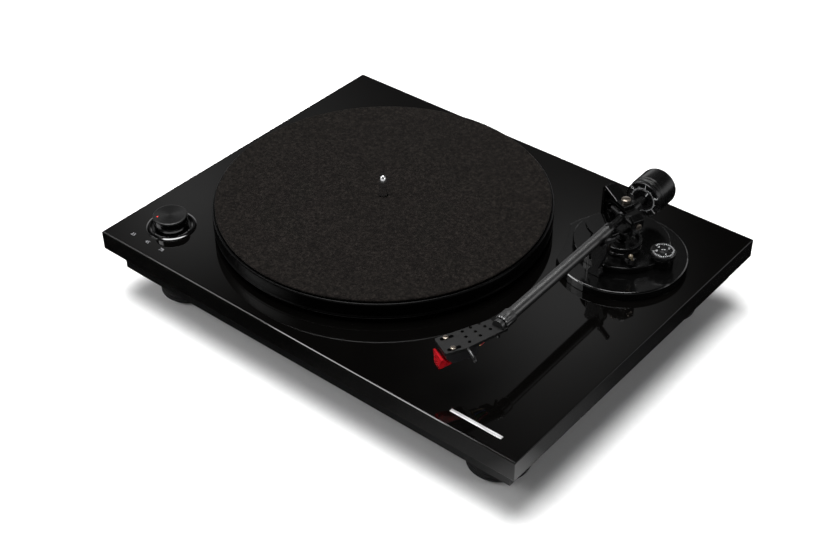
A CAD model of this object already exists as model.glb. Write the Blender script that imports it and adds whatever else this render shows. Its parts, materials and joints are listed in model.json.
import json
import math

import bmesh
import bpy
from mathutils import Matrix, Vector


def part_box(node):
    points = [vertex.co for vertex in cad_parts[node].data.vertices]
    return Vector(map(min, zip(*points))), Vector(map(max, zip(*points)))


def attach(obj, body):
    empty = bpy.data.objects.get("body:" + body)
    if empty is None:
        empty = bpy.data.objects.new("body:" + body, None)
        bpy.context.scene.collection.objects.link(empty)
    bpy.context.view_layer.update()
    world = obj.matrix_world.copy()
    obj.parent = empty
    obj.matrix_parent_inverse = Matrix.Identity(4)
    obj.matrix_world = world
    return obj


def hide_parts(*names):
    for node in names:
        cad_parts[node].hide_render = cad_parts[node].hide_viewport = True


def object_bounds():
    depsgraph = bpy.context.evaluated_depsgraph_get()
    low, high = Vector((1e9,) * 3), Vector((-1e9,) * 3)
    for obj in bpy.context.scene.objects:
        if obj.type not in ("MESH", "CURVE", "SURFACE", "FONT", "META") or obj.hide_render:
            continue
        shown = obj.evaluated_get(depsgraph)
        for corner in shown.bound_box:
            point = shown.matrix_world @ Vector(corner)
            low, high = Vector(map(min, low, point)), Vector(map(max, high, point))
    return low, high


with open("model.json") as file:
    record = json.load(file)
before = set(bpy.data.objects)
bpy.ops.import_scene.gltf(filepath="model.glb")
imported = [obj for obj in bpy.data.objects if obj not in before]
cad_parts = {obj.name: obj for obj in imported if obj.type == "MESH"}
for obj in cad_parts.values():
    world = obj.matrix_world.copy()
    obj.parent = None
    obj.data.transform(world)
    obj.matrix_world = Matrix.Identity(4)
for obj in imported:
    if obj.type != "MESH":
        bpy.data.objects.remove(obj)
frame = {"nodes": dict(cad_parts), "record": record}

cad_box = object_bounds()
nodes = frame["nodes"]

MM = 0.001
SHARP = math.radians(32)

# ---------- sizes in millimetres, angles in degrees ----------
PLATTER_WALL = 9
PLATTER_WEB = 4
PLATTER_BORE = 3.9
MAT_BORE = 4.1
SPINDLE_RADIUS = 3.6
SHAFT_RADIUS = 4
SPINDLE_TIP = 8

NUMBER_ROW = -152.4  # the three speeds, in front of the knob
NUMBER_PLACES = {"33": -191.2, "45": -174.0, "78": -157.1}
DOT_REACH = 10.7
DOT_ANGLE = -122.9

CUP_HEIGHT = 7.7
CUP_DEPTH = 6
COLUMN_RADIUS = 12
CUP_RADIUS = 16
DIAL_RADIUS = 10.4
DIAL_TURN = 14
CUE_LEVER_TILT = -60

PARK_ANGLE = 1.2
YOKE_TURN = -20
TOP_SCREW_SEAT = 57.3  # above the plinth
SIDE_SCREW_SEAT = 18.3  # from the pivot
TUBE_RADIUS = 4.7
TUBE_START = 21.3  # from the pivot
TUBE_END = 159.4
NECK_SEAT = 30  # how deep the bore for the neck goes
COLLAR_RADIUS = 6
COLLAR_BACK = 156.4
COLLAR_FRONT = 168.9

OFFSET_ANGLE = 27.2
SHELL_PLACE = (-16.9, -208.5, -3.6)
HALF_SCREW_SPACING = 6.35
LEAD_RADIUS = 0.45
LEAD_HEIGHT = -3.2

WEIGHT_FRONT = 30.8
WEIGHT_BACK = 54.8
WEIGHT_RADIUS = 16
FORCE_RING_FRONT = 27.5


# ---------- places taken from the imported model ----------
def low(node):
    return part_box(node)[0] / MM


def high(node):
    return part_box(node)[1] / MM


def middle(node):
    return (low(node) + high(node)) / 2


def joint_place(name):
    joint = next(j for j in frame["record"]["behaviour"]["joints"] if j["name"] == name)
    return Vector(joint["pos_m"]) / MM


def place(point, matrix=Matrix.Identity(4)):
    """A matrix whose unit is the metre, from a point in millimetres and a turn."""
    return Matrix.Translation(Vector(point) * MM) @ matrix


def turn(degrees, axis):
    return Matrix.Rotation(math.radians(degrees), 4, axis)


def on_circle(radius, degrees):
    angle = math.radians(degrees)
    return (radius * math.cos(angle), radius * math.sin(angle))


SLOTS = {item["node"]: item["material_slot"] for item in frame["record"]["subparts"]}
plinth_top = high("plinth_slab").z
pivot = joint_place("arm_tilt")
platter_axis = middle("platter")
ARM = place(pivot, turn(PARK_ANGLE, "Z"))
YOKE = place(pivot, turn(YOKE_TURN, "Z"))
SHELL = ARM @ place(SHELL_PLACE, turn(-OFFSET_ANGLE, "Z"))
ALONG_Y = turn(-90, "X")
FACING_FRONT = turn(90, "X")


# ---------- node graphs ----------
class Graph:
    """A material's node tree around its shader, with object coordinates in metres."""

    def __init__(self, name):
        self.material = bpy.data.materials.new(name)
        self.material.use_nodes = True
        self.tree = self.material.node_tree
        self.shader = next(n for n in self.tree.nodes if n.type == "BSDF_PRINCIPLED")

    def node(self, kind, inputs=None, **settings):
        item = self.tree.nodes.new(kind)
        for key, value in settings.items():
            setattr(item, key, value)
        for key, value in (inputs or {}).items():
            self.put(item.inputs[key], value)
        return item

    def put(self, socket, value):
        if isinstance(value, bpy.types.NodeSocket):
            self.tree.links.new(value, socket)
        else:
            socket.default_value = value

    def set(self, **values):
        for key, value in values.items():
            self.put(self.shader.inputs[key.replace("_", " ")], value)

    def coords(self, scale=(1, 1, 1)):
        source = self.node("ShaderNodeTexCoord").outputs["Object"]
        return self.node("ShaderNodeMapping", {"Vector": source, "Scale": scale}).outputs[0]

    def noise(self, scale, detail=4, stretch=(1, 1, 1), rough=0.55, distort=0):
        inputs = {
            "Vector": self.coords(stretch), "Scale": scale, "Detail": detail,
            "Roughness": rough, "Distortion": distort,
        }
        return self.node("ShaderNodeTexNoise", inputs).outputs["Fac"]

    def rings(self, scale, detail=3):
        """Noise that changes only with the distance from the local Z axis and along it."""
        split = self.node("ShaderNodeSeparateXYZ", {"Vector": self.coords()})
        flat = self.node("ShaderNodeCombineXYZ", {"X": split.outputs[0], "Y": split.outputs[1]})
        reach = self.node("ShaderNodeVectorMath", {0: flat.outputs[0]}, operation="LENGTH")
        pair = self.node(
            "ShaderNodeCombineXYZ", {"X": reach.outputs["Value"], "Y": split.outputs[2]})
        inputs = {"Vector": pair.outputs[0], "Scale": scale, "Detail": detail}
        return self.node("ShaderNodeTexNoise", inputs).outputs["Fac"]

    def ramp(self, factor, stops, mode="LINEAR"):
        item = self.node("ShaderNodeValToRGB", {"Fac": factor})
        item.color_ramp.interpolation = mode
        elements = item.color_ramp.elements
        while len(elements) < len(stops):
            elements.new(0.5)
        for element, (position, colour) in zip(elements, stops):
            element.position = position
            element.color = (*colour, 1)
        return item.outputs["Color"]

    def spread(self, factor, low_value, high_value, start=0.3, end=0.7):
        inputs = {
            "Value": factor, "From Min": start, "From Max": end,
            "To Min": low_value, "To Max": high_value,
        }
        return self.node("ShaderNodeMapRange", inputs).outputs["Result"]

    def add(self, first, second, operation="ADD"):
        return self.node("ShaderNodeMath", {0: first, 1: second}, operation=operation).outputs[0]

    def mix(self, factor, first, second, blend="MIX"):
        inputs = {"Factor": factor}
        item = self.node("ShaderNodeMix", inputs, data_type="RGBA", blend_type=blend)
        self.put(item.inputs[6], first)
        self.put(item.inputs[7], second)
        return item.outputs[2]

    def bump(self, height, strength=0.3, depth=0.0001, below=None):
        inputs = {"Height": height, "Strength": strength, "Distance": depth}
        if below is not None:
            inputs["Normal"] = below
        return self.node("ShaderNodeBump", inputs).outputs["Normal"]


def grey(value, warm=1.0):
    return (value * warm, value, value / warm)


# ---------- materials ----------
def gloss_lacquer():
    g = Graph("gloss_lacquer")
    cloud = g.noise(9, 3)
    smudge = g.noise(38, 5, distort=0.6)
    dust = g.noise(2600, 1)
    base = g.ramp(cloud, [(0.3, grey(0.0006, 1.1)), (0.7, grey(0.0012, 1.1))])
    speck = g.spread(dust, 0, 0.12, 0.76, 0.8)
    g.set(
        Base_Color=g.mix(speck, base, (0.05, 0.05, 0.052, 1)),
        Roughness=g.spread(smudge, 0.035, 0.07),
        Normal=g.bump(g.noise(420, 2), 0.05, 0.00001),
        Coat_Weight=0.25, Coat_Roughness=0.02, Coat_IOR=1.5, IOR=1.46,
    )
    return g.material


def satin_board():
    g = Graph("satin_board")
    pores = g.noise(1900, 4)
    g.set(
        Base_Color=g.ramp(g.noise(30, 4), [(0.3, grey(0.0018)), (0.7, grey(0.0032))]),
        Roughness=g.spread(pores, 0.36, 0.5),
        Normal=g.bump(pores, 0.22, 0.00004),
        IOR=1.45,
    )
    return g.material


def powder_paint(name, shade, rough, grain=2600, depth=0.00003, metal=0.0, coat=0.0):
    g = Graph(name)
    fine = g.noise(grain, 3)
    broad = g.noise(60, 4)
    worn = g.spread(g.noise(240, 6, distort=0.4), 0, 0.02, 0.4, 0.8)
    base = g.ramp(broad, [(0.3, grey(shade * 0.92)), (0.7, grey(shade * 1.08))])
    g.set(
        Base_Color=base,
        Roughness=g.add(g.spread(fine, rough - 0.04, rough + 0.05), worn),
        Metallic=metal,
        Normal=g.bump(fine, 0.25, depth),
        Coat_Weight=coat, Coat_Roughness=0.12,
    )
    return g.material


def turned_metal(name, shade, rough, depth=0.00003, lines=5200, warm=1.0, swing=0.12):
    g = Graph(name)
    grooves = g.rings(lines, 4)
    broad = g.rings(420, 2)
    stain = g.noise(45, 5)
    dark = grey(shade * (1 - swing), warm)
    light = grey(shade * (1 + swing), warm)
    tone = g.ramp(g.add(g.add(grooves, broad), 0.5, "MULTIPLY"), [(0.38, dark), (0.62, light)])
    g.set(
        Base_Color=tone, Metallic=1.0,
        Roughness=g.add(
            g.spread(grooves, rough - 0.05, rough + 0.07), g.spread(stain, 0, 0.05)),
        Normal=g.bump(grooves, 0.35, depth),
        Anisotropic=0.35,
    )
    return g.material


def brushed_metal(name, shade, rough, stretch, warm=1.0, depth=0.00002):
    g = Graph(name)
    streaks = g.noise(1400, 5, stretch)
    stain = g.noise(70, 4)
    tone = g.ramp(streaks, [
        (0.3, grey(shade * 0.86, warm)), (0.7, grey(shade * 1.1, warm))])
    g.set(
        Base_Color=tone, Metallic=1.0,
        Roughness=g.add(
            g.spread(streaks, rough - 0.04, rough + 0.08), g.spread(stain, 0, 0.05)),
        Normal=g.bump(streaks, 0.3, depth),
    )
    return g.material


def plated_metal(name, colour, rough):
    g = Graph(name)
    scratches = g.noise(900, 6, (1, 0.12, 1), distort=1.2)
    cloud = g.noise(160, 4)
    dull = tuple(c * 0.82 for c in colour)
    g.set(
        Base_Color=g.ramp(cloud, [(0.3, dull), (0.7, colour)]), Metallic=1.0,
        Roughness=g.add(
            g.spread(scratches, rough - 0.04, rough + 0.08), g.spread(cloud, 0, 0.06)),
        Normal=g.bump(scratches, 0.15, 0.00002),
    )
    return g.material


def felt_material():
    g = Graph("felt")
    clumps = g.noise(330, 6, rough=0.7)
    fibres = g.noise(1500, 5, (1, 0.35, 1), rough=0.75, distort=1.4)
    cross = g.noise(1700, 5, (0.35, 1, 1), rough=0.75, distort=1.4)
    patches = g.noise(26, 5)
    fuzz = g.add(fibres, cross)
    tone = g.add(g.add(fuzz, 0.33, "MULTIPLY"), g.add(clumps, 0.34, "MULTIPLY"))
    flecks = g.spread(g.noise(1150, 2), 0, 1, 0.62, 0.72)
    base = g.ramp(tone, [
        (0.40, (0.0004, 0.0003, 0.0002)), (0.5, (0.0038, 0.0031, 0.0026)),
        (0.60, (0.0190, 0.0160, 0.0138))])
    shaded = g.mix(g.spread(patches, 0, 0.15), base, (0.0024, 0.0019, 0.0016, 1))
    speckled = g.mix(
        g.add(flecks, 0.5, "MULTIPLY"), shaded, (0.030, 0.026, 0.023, 1))
    g.set(
        Base_Color=speckled, Roughness=g.spread(fuzz, 0.88, 1.0, 0.7, 1.3),
        Normal=g.bump(tone, 0.75, 0.0006, below=g.bump(fuzz, 0.4, 0.0002)),
        Sheen_Weight=0.015, Sheen_Roughness=0.45, Specular_IOR_Level=0.06,
    )
    return g.material


def rubber_material(name, shade=0.003):
    g = Graph(name)
    grain = g.noise(1500, 5)
    bloom = g.noise(60, 5)
    g.set(
        Base_Color=g.ramp(bloom, [(0.35, grey(shade * 0.8)), (0.75, grey(shade * 1.5))]),
        Roughness=g.spread(grain, 0.58, 0.78),
        Normal=g.bump(grain, 0.3, 0.00008),
        Sheen_Weight=0.02, Sheen_Roughness=0.5, Specular_IOR_Level=0.35,
    )
    return g.material


def moulding(name, colour, rough=0.36, grain=1500):
    g = Graph(name)
    texture = g.noise(grain, 3)
    flow = g.noise(90, 4, distort=0.8)
    darker = tuple(c * 0.82 for c in colour)
    g.set(
        Base_Color=g.ramp(flow, [(0.3, darker), (0.7, colour)]),
        Roughness=g.spread(texture, rough - 0.06, rough + 0.08),
        Normal=g.bump(texture, 0.2, 0.00004),
    )
    return g.material


def clear_red():
    g = Graph("stylus_red")
    swirl = g.noise(260, 4, distort=0.8)
    g.set(
        Base_Color=g.ramp(swirl, [(0.3, (0.34, 0.006, 0.012)), (0.7, (0.62, 0.014, 0.022))]),
        Roughness=g.spread(g.noise(900, 3), 0.1, 0.2),
        Normal=g.bump(swirl, 0.1, 0.00004),
        Transmission_Weight=0.45, IOR=1.5, Subsurface_Weight=0.3, Subsurface_Scale=0.002,
        Coat_Weight=0.5, Coat_Roughness=0.05,
    )
    return g.material


def circuit_board():
    g = Graph("board_green")
    traces = g.node("ShaderNodeTexBrick", {
        "Vector": g.coords(), "Scale": 260.0, "Mortar Size": 0.03, "Color1": (0.010, 0.07, 0.03, 1),
        "Color2": (0.012, 0.085, 0.035, 1), "Mortar": (0.09, 0.19, 0.08, 1),
    })
    g.set(
        Base_Color=traces.outputs["Color"], Roughness=g.spread(g.noise(900, 3), 0.32, 0.48),
        Normal=g.bump(traces.outputs["Fac"], 0.2, 0.00005), Coat_Weight=0.3, Coat_Roughness=0.15,
    )
    return g.material


def printed_ink(name, colour):
    g = Graph(name)
    speckle = g.noise(6000, 3)
    faded = tuple(c * 0.8 for c in colour)
    g.set(
        Base_Color=g.ramp(speckle, [(0.35, faded), (0.6, colour)]),
        Roughness=g.spread(speckle, 0.45, 0.6),
        Normal=g.bump(speckle, 0.1, 0.00001),
    )
    return g.material


MATERIALS = {
    "gloss_lacquer": gloss_lacquer(),
    "satin_board": satin_board(),
    "black_sheet": powder_paint("black_sheet", 0.003, 0.5),
    "plain_screw": plated_metal("plain_screw", (0.30, 0.30, 0.31), 0.32),
    "foot_rubber": rubber_material("foot_rubber"),
    "badge_metal": brushed_metal("badge_metal", 0.86, 0.3, (0.04, 1, 1)),
    "bearing_brass": turned_metal("bearing_brass", 0.52, 0.28, warm=1.35),
    "ground_steel": turned_metal("ground_steel", 0.72, 0.16, 0.00001, 3000),
    "black_moulding": moulding("black_moulding", (0.0022, 0.0022, 0.0024), 0.26),
    "platter_metal": turned_metal("platter_metal", 0.007, 0.27),
    "felt": felt_material(),
    "belt_rubber": rubber_material("belt_rubber", 0.004),
    "motor_steel": brushed_metal("motor_steel", 0.45, 0.35, (1, 1, 0.05)),
    "knob_metal": turned_metal("knob_metal", 0.034, 0.34),
    "bezel_gloss": powder_paint("bezel_gloss", 0.001, 0.07, 900, 0.000004, coat=0.6),
    "arm_black": powder_paint("arm_black", 0.0012, 0.13, 1800, 0.00001, coat=0.3),
    "arm_satin": powder_paint("arm_satin", 0.0022, 0.24, 2200, 0.00001),
    "tube_grey": brushed_metal("tube_grey", 0.088, 0.36, (1, 0.04, 1), depth=0.000006),
    "nickel": plated_metal("nickel", (0.30, 0.26, 0.22), 0.26),
    "shell_grey": powder_paint("shell_grey", 0.0045, 0.36, 3400, 0.00005, metal=0.2),
    "cartridge_grey": moulding("cartridge_grey", (0.0075, 0.0075, 0.0085), 0.36),
    "stylus_red": clear_red(),
    "lead_white": moulding("lead_white", (0.62, 0.50, 0.36), 0.4),
    "lead_blue": moulding("lead_blue", (0.02, 0.07, 0.32), 0.4),
    "lead_green": moulding("lead_green", (0.02, 0.20, 0.05), 0.4),
    "lead_red": moulding("lead_red", (0.36, 0.016, 0.022), 0.4),
    "weight_metal": powder_paint("weight_metal", 0.0012, 0.24, 3200, 0.00002),
    "socket_gold": plated_metal("socket_gold", (0.83, 0.58, 0.24), 0.18),
    "board_green": circuit_board(),
}
WHITE_INK = printed_ink("white_ink", (0.60, 0.61, 0.62))
PALE_INK = printed_ink("pale_ink", (0.22, 0.22, 0.23))
RED_INK = printed_ink("red_ink", (0.75, 0.02, 0.015))
PALE_PLASTIC = moulding("pale_plastic", (0.10, 0.08, 0.05), 0.3)


# ---------- mesh tools ----------
def add_mesh(name, vertices, faces, matrix, slot, body, replaced=(), material=None):
    data = bpy.data.meshes.new(name)
    data.from_pydata([Vector(v) * MM for v in vertices], [], faces)
    mesh = bmesh.new()
    mesh.from_mesh(data)
    bmesh.ops.recalc_face_normals(mesh, faces=mesh.faces)
    mesh.to_mesh(data)
    mesh.free()
    return add_piece(name, data, matrix, slot, body, replaced, material)


def add_piece(name, data, matrix, slot, body, replaced=(), material=None):
    for face in data.polygons:
        face.use_smooth = True
    data.set_sharp_from_angle(angle=SHARP)
    piece = bpy.data.objects.new(name, data)
    bpy.context.collection.objects.link(piece)
    piece.matrix_world = matrix
    data.materials.clear()
    data.materials.append(material or MATERIALS[slot])
    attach(piece, body)
    if replaced:
        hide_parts(*replaced)
    return piece


def rounded(points, steps=4):
    """Profile points (r, z) or (r, z, fillet); each fillet becomes a short curve."""
    result = []
    for i, point in enumerate(points):
        here = Vector(point[:2])
        fillet = point[2] if len(point) > 2 else 0
        if not fillet:
            result.append(tuple(here))
            continue
        before = Vector(points[i - 1][:2]) - here
        after = Vector(points[(i + 1) % len(points)][:2]) - here
        start = here + before.normalized() * min(fillet, before.length * 0.49)
        end = here + after.normalized() * min(fillet, after.length * 0.49)
        for k in range(steps + 1):
            t = k / steps
            curve = start * (1 - t) ** 2 + here * (2 * t * (1 - t)) + end * t ** 2
            result.append(tuple(curve))
    return result


def lathe_mesh(profile, segments=96, closed=False, ripple=None):
    """Vertices and faces of a profile turned round Z; ripple changes r by angle and point."""
    vertices = []
    rows = []
    for i, (r, z) in enumerate(profile):
        if r < 1e-6:
            rows.append([len(vertices)])
            vertices.append((0, 0, z))
            continue
        rows.append(list(range(len(vertices), len(vertices) + segments)))
        for k in range(segments):
            angle = k / segments * math.tau
            reach = r + (ripple(angle, i) if ripple else 0)
            vertices.append((reach * math.cos(angle), reach * math.sin(angle), z))
    faces = []
    pairs = list(zip(rows, rows[1:]))
    if closed:
        pairs.append((rows[-1], rows[0]))
    for a, b in pairs:
        for k in range(segments):
            n = (k + 1) % segments
            if len(a) == 1 and len(b) > 1:
                faces.append((a[0], b[n], b[k]))
            elif len(b) == 1 and len(a) > 1:
                faces.append((a[k], a[n], b[0]))
            elif len(a) > 1:
                faces.append((a[k], a[n], b[n], b[k]))
    return vertices, faces


def lathe(name, profile, matrix, slot, body, replaced=(), segments=96, closed=False,
          ripple=None, material=None, steps=4):
    mesh = lathe_mesh(rounded(profile, steps), segments, closed, ripple)
    return add_mesh(name, *mesh, matrix, slot, body, replaced, material)


def arc(radius, start, end, steps, x=0.0, y=0.0):
    angles = [math.radians(start + (end - start) * k / steps) for k in range(steps + 1)]
    return [(x + radius * math.cos(a), y + radius * math.sin(a)) for a in angles]


def slotted_screw(name, radius, height, width, matrix, slot, body, replaced=(), depth=None):
    """A cheese head on local Z with a straight slot: a base disc and two D-shaped lands."""
    depth = depth or height * 0.5
    floor = height - depth
    half = width / 2
    vertices, faces = lathe_mesh(rounded([(0, 0), (radius, 0, 0.1), (radius, floor), (0, floor)]), 48)
    for side in (1, -1):
        edge = math.degrees(math.asin(half / radius))
        points = arc(radius, edge, 180 - edge, 24)
        points = [(x, y * side) for x, y in points]
        inset = 0.16 * radius
        count = len(points)
        first = len(vertices)
        levels = [(floor, 1.0), (height - inset * 0.8, 1.0), (height - inset * 0.3, 0.94),
                  (height, 0.84)]
        for z, scale in levels:
            vertices += [(x * scale, max(y * side * scale, half) * side, z) for x, y in points]
        for level in range(len(levels) - 1):
            a, b = first + level * count, first + (level + 1) * count
            for k in range(count):
                n = (k + 1) % count
                faces.append((a + k, a + n, b + n, b + k))
        faces.append(tuple(first + (len(levels) - 1) * count + k for k in range(count)))
    return add_mesh(name, vertices, faces, matrix, slot, body, replaced)


def tube_along(name, points, radius, slot, body, matrix=Matrix.Identity(4), replaced=(),
               sides=14, taper=None, material=None):
    """Smooth round rod through points, closed at its ends."""
    spline = [Vector(p) for p in points]
    dense = []
    for i in range(len(spline) - 1):
        a = spline[max(i - 1, 0)]
        b, c = spline[i], spline[i + 1]
        d = spline[min(i + 2, len(spline) - 1)]
        for k in range(8):
            t = k / 8
            dense.append(0.5 * (2 * b + (c - a) * t + (2 * a - 5 * b + 4 * c - d) * t ** 2
                                + (3 * b - a - 3 * c + d) * t ** 3))
    dense.append(spline[-1])
    vertices, faces = [], []
    side = Vector((0, 0, 1))
    for i, point in enumerate(dense):
        ahead = (dense[min(i + 1, len(dense) - 1)] - dense[max(i - 1, 0)]).normalized()
        across = ahead.cross(side).normalized()
        up = across.cross(ahead)
        share = i / (len(dense) - 1)
        r = radius * (taper(share) if taper else 1)
        for k in range(sides):
            angle = k / sides * math.tau
            vertices.append(point + across * (r * math.cos(angle)) + up * (r * math.sin(angle)))
    for i in range(len(dense) - 1):
        for k in range(sides):
            n = (k + 1) % sides
            a, b = i * sides, (i + 1) * sides
            faces.append((a + k, a + n, b + n, b + k))
    faces.append(tuple(range(sides)))
    last = (len(dense) - 1) * sides
    faces.append(tuple(last + k for k in range(sides)))
    return add_mesh(name, vertices, faces, matrix, slot, body, replaced, material)


def bars(name, boxes, matrix, body, material, slot):
    """Thin raised marks: each box is (x, y, turn in degrees, length, width, height)."""
    vertices, faces = [], []
    for x, y, angle, length, width, height in boxes:
        c, s = math.cos(math.radians(angle)), math.sin(math.radians(angle))
        first = len(vertices)
        for z in (-0.05, height):
            for u, v in ((-1, -1), (1, -1), (1, 1), (-1, 1)):
                a, b = u * length / 2, v * width / 2
                vertices.append((x + a * c - b * s, y + a * s + b * c, z))
        faces += [tuple(first + k for k in quad) for quad in (
            (0, 3, 2, 1), (4, 5, 6, 7), (0, 1, 5, 4), (1, 2, 6, 5), (2, 3, 7, 6), (3, 0, 4, 7))]
    return add_mesh(name, vertices, faces, matrix, slot, body, (), material)


def number(name, text, size, matrix, body, slot, rise=0.04, material=None):
    """Raised digits, centred on the matrix's origin and lying in its XY plane."""
    curve = bpy.data.curves.new(name + "_curve", "FONT")
    curve.body = text
    curve.size = size * MM
    curve.align_x = "CENTER"
    curve.align_y = "CENTER"
    curve.extrude = rise * MM
    source = bpy.data.objects.new(name + "_source", curve)
    bpy.context.collection.objects.link(source)
    bpy.context.view_layer.update()
    data = bpy.data.meshes.new_from_object(source)
    bpy.data.objects.remove(source)
    return add_piece(name, data, matrix, slot, body, (), material or WHITE_INK)


def polish(node, width=0.25, segments=3, material=None):
    """Gives a carried-over CAD node its material and softly rounded edges."""
    piece = nodes[node]
    piece.data.materials.clear()
    piece.data.materials.append(material or MATERIALS[SLOTS[node]])
    weld = piece.modifiers.new("weld", "WELD")
    weld.merge_threshold = 0.000005
    merge = piece.modifiers.new("merge", "DECIMATE")
    merge.decimate_type = "DISSOLVE"
    merge.angle_limit = math.radians(0.6)
    if width:
        bevel = piece.modifiers.new("bevel", "BEVEL")
        bevel.width = width * MM
        bevel.segments = segments
        bevel.limit_method = "ANGLE"
        bevel.angle_limit = SHARP
        bevel.miter_outer = "MITER_ARC"
        bevel.use_clamp_overlap = True
    split = piece.modifiers.new("normals", "WEIGHTED_NORMAL")
    split.weight = 60
    split.keep_sharp = True
    return piece



# ---------- plinth and feet ----------
def rubber_foot(node):
    """Ribbed skirt on a smaller sole, with a collar above."""
    base, top = low(node).z, high(node).z
    outer = (high(node).x - low(node).x) / 2
    shoulder = top - 7
    profile = [(0, base), (outer - 9, base, 0.4), (outer - 9, base + 0.7), (outer - 7, base + 0.7),
               (outer - 7, base, 0.3), (outer - 3, base, 0.6), (outer - 2.4, base + 2.4)]
    ribs = 5
    pitch = (shoulder - base - 3.4) / ribs
    for i in range(ribs):
        z = base + 2.6 + i * pitch
        profile += [(outer, z + 0.35, 0.5), (outer, z + pitch - 0.9, 0.5),
                    (outer - 0.9, z + pitch - 0.55, 0.25), (outer - 0.9, z + pitch, 0.25)]
    profile += [(outer - 2, shoulder, 0.3), (outer - 2, top - 2, 0.6), (outer - 4, top, 0.3), (0, top)]
    spot = middle(node)
    lathe(node + "_rubber", [(p[0], p[1] - base, *p[2:]) for p in profile],
          place((spot.x, spot.y, base)), "foot_rubber", "plinth", [node], 96)


def cover_screw(node):
    spot = middle(node)
    matrix = place((spot.x, spot.y, high("bottom_cover").z - 1.8), turn(180, "X"))
    slotted_screw(node + "_head", 2.6, 1.6, 0.8, matrix, "plain_screw", "plinth", [node])


def speed_numbers():
    for text, x in NUMBER_PLACES.items():
        number("number_" + text, text, 4.5, place((x, NUMBER_ROW, plinth_top)), "plinth",
               "gloss_lacquer", 0.02, PALE_INK)


def plinth():
    polish("plinth_slab", 0.3, 4)
    polish("plinth_base", 0.7, 3)
    polish("bottom_cover", 0.25, 2)
    polish("badge_bar", 0.12, 2)
    for corner in ("front_left", "front_right", "rear_left", "rear_right"):
        rubber_foot("foot_" + corner)
    for i in range(1, 5):
        cover_screw(f"cover_screw_{i}")
    speed_numbers()


# ---------- platter ----------
def platter_disc():
    base, top = low("platter").z, high("platter").z
    outer = (high("platter").x - low("platter").x) / 2
    bore = PLATTER_BORE
    web = top - PLATTER_WEB - base
    side = top - base
    inner = outer - PLATTER_WALL
    profile = [
        (bore, web), (inner - 6, web, 1.5), (inner, web - 0.6, 0.8), (inner, 0, 0.4),
        (outer, 0, 1.1), (outer, 1.9, 0.15), (outer - 0.25, 2.1, 0.1), (outer - 0.25, 2.5, 0.1),
        (outer, 2.7, 0.15), (outer, side - 1.0, 0.6), (outer - 0.75, side, 0.45),
        (outer - 1.9, side, 0.1), (outer - 2.1, side - 0.5, 0.1), (outer - 4, side - 0.5, 0.1),
        (outer - 4.2, side, 0.1), (bore, side),
    ]
    return lathe("platter_disc", profile, place((platter_axis.x, platter_axis.y, base)),
                 "platter_metal", "platter", ["platter"], 288, closed=True)


def felt_mat():
    base, top = low("platter_mat").z, high("platter_mat").z
    outer = (high("platter_mat").x - low("platter_mat").x) / 2
    thick = top - base
    bore = MAT_BORE

    def ripple(angle, i):
        waves = math.sin(angle * 7 + 1) + math.sin(angle * 23 + 2) + math.sin(angle * 61)
        return 0.045 * waves - 0.1 if 0 < i < 9 else 0

    rings = [(bore + (outer - bore) * k / 16, thick - 0.03) for k in range(15, 0, -1)]
    profile = [(bore, 0), (outer - 0.8, 0), (outer - 0.2, 0.25), (outer, 0.8), (outer, 1.3),
               (outer - 0.2, thick - 0.35), (outer - 0.6, thick - 0.1), (outer - 1.2, thick),
               (outer - 2.5, thick), (outer - 5, thick - 0.02)]
    profile += rings + [(bore + 0.4, thick - 0.05), (bore, thick - 0.4)]
    mat = lathe("felt_disc", profile, place((platter_axis.x, platter_axis.y, base)),
                "felt", "platter", ["platter_mat"], 256, closed=True, ripple=ripple)


def record_spindle():
    base, top = low("spindle").z, high("spindle").z
    seat = high("sub_platter").z - base
    shaft, pin = SHAFT_RADIUS, SPINDLE_RADIUS
    shoulder = top - base - SPINDLE_TIP
    quarter = [k / 12 * math.pi / 2 for k in range(1, 12)]
    tip = [(pin * math.cos(a), shoulder + SPINDLE_TIP * math.sin(a)) for a in quarter]
    profile = [(0, 0), (shaft - 1, 0, 0.2), (shaft, 1, 0.2), (shaft, seat, 0.1), (pin, seat),
               (pin, shoulder)]
    profile += tip + [(0, shoulder + SPINDLE_TIP)]
    lathe("spindle_turned", profile, place((platter_axis.x, platter_axis.y, base)),
          "ground_steel", "platter", ["spindle"], 64)


def drive():
    platter_disc()
    felt_mat()
    record_spindle()
    polish("bearing_housing", 0.3)
    polish("sub_platter", 0.4)
    polish("drive_belt", 0.15, 2)
    polish("motor", 0.4)
    polish("motor_pulley", 0.15)


# ---------- speed knob ----------
def speed_knob():
    spot = middle("speed_knob")
    base, top = low("speed_knob").z, high("speed_knob").z
    height = top - base
    matrix = place((spot.x, spot.y, base))
    skirt = [(0, 3), (3.6, 3), (3.6, 0), (13.9, 0, 0.3), (14.45, 0.6, 0.3), (14.45, height - 1.4, 0.1),
             (14.2, height - 1.1), (0, height - 1.1)]
    lathe("knob_skirt", skirt, matrix, "bezel_gloss", "knob", ["speed_knob"], 144)
    cap = [(0, height - 1.15), (14.1, height - 1.15), (14.6, height - 1.05, 0.15),
           (14.6, height - 0.7, 0.25), (14.15, height - 0.18, 0.35), (13.3, height - 0.02, 0.3),
           (0, height - 0.12)]
    lathe("knob_cap", cap, matrix, "knob_metal", "knob", (), 144)
    x, y = on_circle(DOT_REACH, DOT_ANGLE)
    dot = place((spot.x + x, spot.y + y, top - 0.1))
    lathe("knob_dot", [(0, 0), (0.85, 0), (0.85, 0.06, 0.04), (0.6, 0.09), (0, 0.1)], dot,
          "knob_metal", "knob", (), 32, material=RED_INK)


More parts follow.
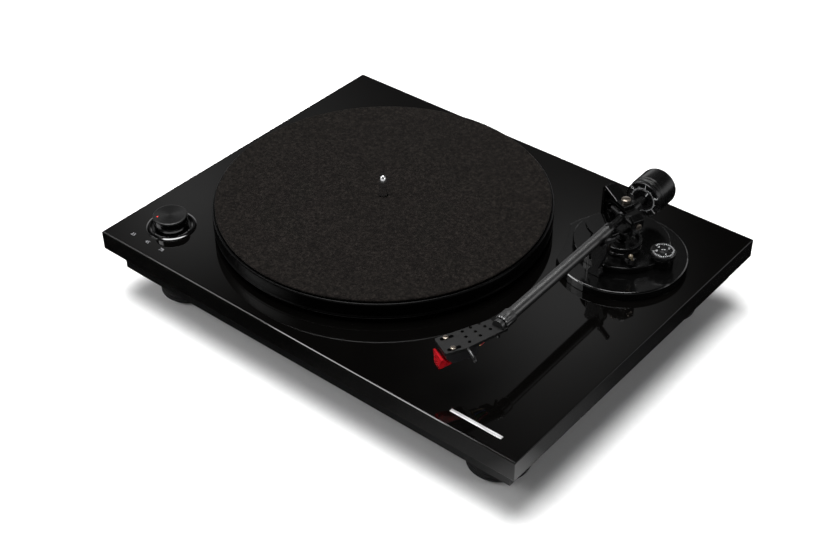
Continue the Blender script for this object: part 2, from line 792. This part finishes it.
def knob_ring():
    spot = middle("knob_bezel")
    outer = (high("knob_bezel").x - low("knob_bezel").x) / 2
    height = high("knob_bezel").z - low("knob_bezel").z
    profile = [(4.5, 0), (outer, 0), (outer, height * 0.45, 0.4), (outer - 1.6, height, 0.9),
               (outer - 2.8, height, 0.9), (outer - 4.6, height * 0.3, 0.6), (4.5, 0.2)]
    lathe("knob_ring", profile, place((spot.x, spot.y, low("knob_bezel").z)), "bezel_gloss",
          "plinth", ["knob_bezel"], 144, closed=True, steps=6)
    polish("speed_switch", 0.3)


# ---------- tonearm base ----------
def cup_column():
    base = low("arm_column").z
    top = high("arm_column").z - base
    cup = top - CUP_HEIGHT
    floor_level = top - CUP_DEPTH
    bore = 4
    stem, rim = COLUMN_RADIUS, CUP_RADIUS
    profile = [
        (bore, 0), (stem, 0, 0.4), (stem, cup, 0.1), (rim - 0.8, cup, 0.3), (rim, cup + 0.8, 0.3),
        (rim, cup + 2.4, 0.2), (rim - 0.5, cup + 2.7, 0.1), (rim - 0.5, cup + 3.2, 0.1),
        (rim, cup + 3.5, 0.2), (rim, top, 0.5), (rim - 2, top, 0.35), (rim - 2, floor_level, 0.5),
        (bore, floor_level, 0.2),
    ]
    lathe("cup_turned", profile, place((pivot.x, pivot.y, base)), "arm_satin", "plinth",
          ["arm_column"], 128, closed=True)


def anti_skate_dial():
    spot = middle("anti_skate_dial")
    stem, top = low("anti_skate_dial").z, high("anti_skate_dial").z
    height = top - stem
    face = height - 0.6
    knurled = range(10, 16)  # the profile's points on the rim, once rounded
    rim = DIAL_RADIUS

    def ripple(angle, i):
        return -0.09 * (0.5 - 0.5 * math.cos(angle * 48)) if i in knurled else 0

    profile = [(0, 0), (3, 0, 0.2), (3, face - 5, 0.1), (rim - 1, face - 5, 0.3),
               (rim - 0.1, face - 4.3), (rim, face - 4.0), (rim, face - 3), (rim, face - 2),
               (rim, face - 1.1), (rim - 0.1, face - 0.8), (9.7, face, 0.2), (9.3, face, 0.05),
               (9.2, face - 0.1), (3.3, face - 0.1, 0.1), (2.9, face + 0.55, 0.25), (0, face + 0.58)]
    matrix = place((spot.x, spot.y, stem), turn(DIAL_TURN, "Z"))
    lathe("dial_turned", profile, matrix, "arm_satin", "dial", ["anti_skate_dial"], 192,
          ripple=ripple)
    marks = []
    for i in range(31):
        angle = -150 + 10 * i
        long = i % 5 == 0
        spot_on = on_circle(8.0 if long else 8.35, angle)
        marks.append((*spot_on, angle, 1.9 if long else 1.3, 0.34, 0.06))
    on_face = matrix @ place((0, 0, face - 0.1))
    bars("dial_ticks", marks, on_face, "dial", WHITE_INK, "arm_satin")
    for i, text in enumerate(("0", "1", "2", "3")):
        spot_on = matrix @ place((*on_circle(5.4, -150 + 100 * i), face - 0.1))
        number("dial_number_" + text, text, 3.0, spot_on, "dial", "arm_satin")
    bars("dial_index", [(0.9, 0.3, 20, 1.5, 0.5, 0.05), (-0.9, -0.3, 20, 1.1, 0.5, 0.05)],
         matrix @ place((0, 0, face + 0.56)), "dial", WHITE_INK, "arm_satin")


def cue_lever():
    polish("cue_lever", 0.15, 2)
    boss = joint_place("cue_turn")
    matrix = place(boss, turn(CUE_LEVER_TILT, "X")) @ turn(90, "X")
    profile = [(0, 3.2), (1.16, 3.2, 0.1), (1.16, 7.6), (1.84, 8.4, 0.4), (1.84, 9.6, 0.6),
               (1.1, 10.6, 0.4), (0, 10.8)]
    lathe("cue_grip", profile, matrix, "arm_satin", "cue_handle", (), 40, material=PALE_PLASTIC)


def tonearm_base():
    polish("arm_base", 0.35, 4)
    polish("arm_plate", 0.3, 4)
    cup_column()
    anti_skate_dial()
    polish("arm_rest", 0.35)
    polish("arm_clip", 0.3)
    polish("cue_bar", 0.3)
    cue_lever()


# ---------- gimbal ----------
def pivot_screws():
    head = place((pivot.x, pivot.y, plinth_top + TOP_SCREW_SEAT), turn(35, "Z"))
    slotted_screw("top_screw", 3.7, 3.2, 0.8, head, "nickel", "plinth", ["top_pivot_screw"], 0.9)
    for side, node in ((1, "side_pivot_screw_right"), (-1, "side_pivot_screw_left")):
        matrix = YOKE @ place((SIDE_SCREW_SEAT * side, 0, 0), turn(90 * side, "Y")) @ turn(25, "Z")
        slotted_screw(node + "_head", 2.5, 1.1, 0.6, matrix, "nickel", "gimbal", [node], 0.6)
        pin = [(0, -6.2), (0.5, -6.2), (1.6, -4.6), (1.6, 0.1), (0, 0.1)]
        lathe(node + "_pin", pin, matrix, "nickel", "gimbal", (), 32)


def gimbal():
    polish("gimbal_yoke", 0.45, 4)
    polish("gimbal_ring", 0.45, 4)
    pivot_screws()


# ---------- arm ----------
def arm_tube():
    r = TUBE_RADIUS
    bore, neck_bore = r - 0.8, r - 1.3
    profile = [(bore, -TUBE_END), (r, -TUBE_END, 0.15), (r, -27), (r + 0.05, -26.75),
               (r + 0.05, -TUBE_START), (neck_bore, -TUBE_START), (neck_bore, -NECK_SEAT),
               (bore, -NECK_SEAT)]
    lathe("tube_drawn", profile, ARM @ ALONG_Y, "tube_grey", "arm", ["arm_tube"], 96, closed=True)
    clamp = [(r - 0.2, -26.8), (r + 0.3, -26.8), (r + 0.4, -26.5), (r + 0.4, -21.5),
             (r + 0.3, -21.2), (r - 0.2, -21.2)]
    lathe("tube_clamp", clamp, ARM @ ALONG_Y, "arm_satin", "arm", (), 12, closed=True)
    polish("arm_block", 0.25)


def lock_collar():
    front, back = -COLLAR_FRONT, -COLLAR_BACK
    r = COLLAR_RADIUS

    def ripple(angle, i):
        if not 2 <= i <= 9:
            return 0
        return -0.42 * (0.5 - 0.5 * math.cos(angle * 12)) ** 2

    profile = [(r - 1, front), (r - 0.55, front, 0.1), (r - 0.25, front + 0.5),
               (r - 0.05, front + 0.9), (r, front + 1.6), (r, front + 5), (r, back - 5),
               (r, back - 1.6), (r - 0.05, back - 0.9), (r - 0.25, back - 0.5),
               (r - 0.55, back), (r - 1, back)]
    lathe("collar_fluted", profile, ARM @ ALONG_Y, "tube_grey", "collar", ["lock_collar"], 144,
          closed=True, ripple=ripple)


def headshell():
    polish("headshell", 0.3, 3)
    ring = [(4.2, -173.1), (4.75, -173.1, 0.1), (4.75, -169.5, 0.15), (4.2, -169.5)]
    lathe("plug_ring", ring, ARM @ ALONG_Y, "nickel", "arm", (), 72, closed=True,
          material=MATERIALS["tube_grey"])
    for side, node in ((-1, "cartridge_screw_left"), (1, "cartridge_screw_right")):
        spot = SHELL @ place((HALF_SCREW_SPACING * side, 0, 2.9), turn(18 - 30 * side, "Z"))
        slotted_screw(node + "_head", 2.1, 1.1, 0.7, spot, "nickel", "arm", [node], 0.7)
        lathe(node + "_shank", [(0, -8.3), (1.2, -8.3, 0.2), (1.2, 0.05), (0, 0.05)], spot,
              "nickel", "arm", (), 24)
    polish("cartridge_body", 0.35, 4)
    polish("stylus_holder", 0.25)


def finger_lift():
    path = [(9.6, 10, 1.3), (13.3, 10.2, 1), (17.3, 10.6, -0.7), (19.4, 10.85, -2.3)]
    tube_along("lift_rod", path, 1.35, "arm_satin", "arm", SHELL, ["finger_lift"], 20)
    tip = [(18.9, 10.8, -1.9), (19.6, 10.9, -2.5), (20.5, 11.0, -3.3)]
    tube_along("lift_tip", tip, 1.42, "tube_grey", "arm", SHELL, (), 20,
               taper=lambda t: 0.96 if t < 0.7 else 0.96 - (t - 0.7) * 1.4)


def signal_leads():
    ends = (("white", -5.0, -5.6), ("blue", -1.7, -3.8), ("green", 1.7, -2.0), ("red", 5.0, -0.2))
    for colour, x, end in ends:
        slot = "lead_" + colour
        r, z = LEAD_RADIUS, LEAD_HEIGHT
        path = [(x, 18.2, z), (x, 23, z), ((x + end) / 2, 28, z + 0.4), (end, 33, z + 1.4)]
        tube_along(slot + "_wire", path, r, slot, "arm", SHELL, [slot])
        sleeve = [(r, 18.4), (r + 0.33, 18.4, 0.1), (r + 0.33, 22.2, 0.15), (r, 22.2)]
        lathe(slot + "_clip", sleeve, SHELL @ place((x, 0, z)) @ ALONG_Y, "socket_gold", "arm",
              (), 24, closed=True)


def counterweight():
    front, back = WEIGHT_FRONT, WEIGHT_BACK
    r = WEIGHT_RADIUS
    bore = 6.3
    profile = [
        (bore, front), (r - 1.3, front, 0.3), (r - 1.1, front + 0.4, 0.1),
        (r - 1.1, front + 1.9, 0.2), (r, front + 2.6, 0.25), (r, front + 4.6, 0.2),
        (r - 0.45, front + 4.9, 0.1), (r - 0.45, front + 5.5, 0.1), (r, front + 5.8, 0.2),
        (r, back - 2.4, 0.8), (r - 0.8, back - 0.8, 0.6), (r - 2.6, back, 0.7),
        (9.5, back, 0.1), (9.2, back - 0.35, 0.1), (0, back - 0.35),
    ]
    hollow = [(0, back - 4), (bore, back - 4)]
    lathe("weight_turned", profile + hollow, ARM @ ALONG_Y, "weight_metal", "weight",
          ["counterweight"], 160)
    polish("weight_bush", 0.2)


def force_dial():
    front = FORCE_RING_FRONT
    profile = [(4.6, front + 3), (4.6, front + 0.25, 0.1), (8.4, front + 0.25, 0.1),
               (8.7, front, 0.05), (9.1, front + 0.02, 0.05), (9.3, front + 0.35, 0.1),
               (14.6, front + 0.35, 0.1), (14.8, front, 0.1), (15.2, front, 0.2),
               (15.5, front + 0.4, 0.2), (15.5, front + 3, 0.1)]
    lathe("scale_ring", profile, ARM @ ALONG_Y, "black_moulding", "force_ring", ["force_dial"],
          128, closed=True)
    face = ARM @ place((0, front + 0.35, 0), FACING_FRONT)
    marks = []
    for i in range(46):
        angle = -95 + 6.0 * i
        long = i % 5 == 0
        length, width = (2.0, 0.42) if long else (1.0, 0.3)
        marks.append((*on_circle(10.6 if long else 10.2, angle), angle, length, width, 0.06))
    bars("scale_ticks", marks, face, "force_ring", WHITE_INK, "black_moulding")
    for i, text in enumerate(("0", "1", "2", "3")):
        angle = 145 - 60 * i
        spot = face @ place((*on_circle(12.9, angle), 0), turn(angle - 90, "Z"))
        number("scale_number_" + text, text, 4.6, spot, "force_ring", "black_moulding")
    angle = 62
    index = (*on_circle(6.6, angle), angle, 4.2, 0.8, 0.08)
    bars("scale_index", [index], ARM @ place((0, front + 0.25, 0), FACING_FRONT), "force_ring",
         WHITE_INK, "black_moulding")


def tonearm():
    arm_tube()
    lock_collar()
    headshell()
    finger_lift()
    signal_leads()
    counterweight()
    force_dial()


# ---------- rear panel ----------
def rear():
    polish("rear_panel", 0.2)
    polish("main_board", 0.1, 2)
    for node in ("phono_socket_left", "phono_socket_right", "dc_inlet", "ground_screw"):
        polish(node, 0.15, 2)
    polish("power_switch", 0.3)
    polish("output_switch", 0.2)


# ---------- floor, light and camera ----------
def floor_material(corner):
    """White paper; in reflections it falls off into shade away from the front corner."""
    g = Graph("floor")
    fibre = g.noise(160, 4)
    white = g.ramp(fibre, [(0.3, (0.93, 0.93, 0.93)), (0.7, (0.96, 0.96, 0.96))])
    position = g.node("ShaderNodeNewGeometry").outputs["Position"]
    away = g.node("ShaderNodeVectorMath", {0: position, 1: corner}, operation="DISTANCE")
    shade = g.ramp(g.spread(away.outputs["Value"], 0, 1, 0.02, 0.30), [
        (0, grey(0.75)), (0.25, grey(0.12)), (0.6, grey(0.03)), (1, grey(0.006))])
    glossy = g.node("ShaderNodeLightPath").outputs["Is Glossy Ray"]
    g.set(Base_Color=g.mix(glossy, white, shade), Roughness=1.0, Specular_IOR_Level=0.0)
    return g.material


def floor():
    data = bpy.data.meshes.new("floor")
    reach = 4.0
    data.from_pydata([(-reach, -reach, 0), (reach, -reach, 0), (reach, reach, 0), (-reach, reach, 0)],
                     [], [(0, 1, 2, 3)])
    piece = bpy.data.objects.new("floor", data)
    bpy.context.collection.objects.link(piece)
    corner = (cad_box[1][0] + 0.03, cad_box[0][1] - 0.01, 0)
    data.materials.append(floor_material(corner))


# Brightness of the surroundings by height, from level at 0 to overhead at 1.
HORIZON = [(0.0, 0.9), (0.28, 0.8), (0.38, 0.3), (0.46, 0.015), (0.56, 0.004), (1.0, 0.004)]

# Soft glows of the studio's far panels: direction, spread and strength.
GLOWS = (
    ((-0.64, 0.52, 0.57), 0.055, 0.32),
    ((-0.60, 0.60, 0.53), 0.055, 0.13),
    ((-0.50, 0.68, 0.54), 0.07, 0.06),
    ((-0.415, 0.66, 0.625), 0.06, 0.34),
    ((-0.40, 0.60, 0.69), 0.05, 0.06),
)


def horizon_light(tree, direction):
    split = tree.nodes.new("ShaderNodeSeparateXYZ")
    ramp = tree.nodes.new("ShaderNodeValToRGB")
    tree.links.new(direction, split.inputs[0])
    tree.links.new(split.outputs["Z"], ramp.inputs["Fac"])
    elements = ramp.color_ramp.elements
    while len(elements) < len(HORIZON):
        elements.new(0.5)
    for element, (position, value) in zip(elements, HORIZON):
        element.position = position
        element.color = (value, value, value * 1.01, 1)
    return ramp.outputs["Color"]


def glow(tree, direction, centre, width, power):
    """A round glow: power times exp of minus the squared distance over the width."""
    away = tree.nodes.new("ShaderNodeVectorMath")
    away.operation = "DISTANCE"
    away.inputs[1].default_value = centre
    tree.links.new(direction, away.inputs[0])
    value = away.outputs["Value"]
    steps = (("DIVIDE", width), ("POWER", 2), ("MULTIPLY", -1), ("EXPONENT", 0),
             ("MULTIPLY", power))
    for operation, amount in steps:
        step = tree.nodes.new("ShaderNodeMath")
        step.operation = operation
        tree.links.new(value, step.inputs[0])
        step.inputs[1].default_value = amount
        value = step.outputs[0]
    return value


def studio_world():
    world = bpy.data.worlds.new("studio")
    bpy.context.scene.world = world
    world.use_nodes = True
    tree = world.node_tree
    background = next(n for n in tree.nodes if n.type == "BACKGROUND")
    direction = tree.nodes.new("ShaderNodeTexCoord").outputs["Generated"]
    total = horizon_light(tree, direction)
    for centre, width, power in GLOWS:
        both = tree.nodes.new("ShaderNodeVectorMath")
        both.operation = "ADD"
        tree.links.new(total, both.inputs[0])
        tree.links.new(glow(tree, direction, centre, width, power), both.inputs[1])
        total = both.outputs[0]
    tree.links.new(total, background.inputs["Color"])
    background.inputs["Strength"].default_value = 1.0


def softbox(name, spot, aim, width, height, power):
    light = bpy.data.lights.new(name, "AREA")
    light.shape = "RECTANGLE"
    light.size = width
    light.size_y = height
    light.energy = power
    piece = bpy.data.objects.new(name, light)
    bpy.context.collection.objects.link(piece)
    piece.location = spot
    piece.rotation_euler = (Vector(aim) - Vector(spot)).to_track_quat("-Z", "Y").to_euler()


def studio_light():
    studio_world()
    softbox("overhead", (-0.2, -0.12, 2.4), (0, 0, 0), 1.8, 1.6, 118)
    softbox("front_left", (-1.7, -1.7, 1.75), (0, 0, 0.05), 1.5, 0.5, 22)
    softbox("right_rim", (2.2, 0.9, 0.9), (0.05, 0.05, 0.08), 0.5, 0.8, 6)


# Where the camera stands, in millimetres, and how it is turned, in degrees.
CAMERA_PLACE = (617.3, -755.2, 790.0)
CAMERA_YAW = -39.56
CAMERA_PITCH = 38.22
CAMERA_ROLL = -0.37
CAMERA_LENS = 62.41


def camera():
    yaw, pitch, roll = (math.radians(a) for a in (CAMERA_YAW, CAMERA_PITCH, CAMERA_ROLL))
    forward = Vector((math.sin(yaw) * math.cos(pitch), math.cos(yaw) * math.cos(pitch),
                      -math.sin(pitch)))
    level = Vector((math.cos(yaw), -math.sin(yaw), 0))
    upright = level.cross(forward)
    right = level * math.cos(roll) + upright * math.sin(roll)
    up = upright * math.cos(roll) - level * math.sin(roll)
    data = bpy.data.cameras.new("camera")
    data.lens = CAMERA_LENS
    data.sensor_width = 36
    data.sensor_fit = "HORIZONTAL"
    data.clip_start = 0.01
    data.clip_end = 50
    piece = bpy.data.objects.new("camera", data)
    bpy.context.collection.objects.link(piece)
    rotation = Matrix((right, up, -forward)).transposed().to_4x4()
    piece.matrix_world = place(CAMERA_PLACE) @ rotation
    bpy.context.scene.camera = piece


plinth()
drive()
speed_knob()
knob_ring()
tonearm_base()
gimbal()
tonearm()
rear()
floor()
studio_light()
camera()
bpy.context.scene.view_settings.view_transform = "Standard"
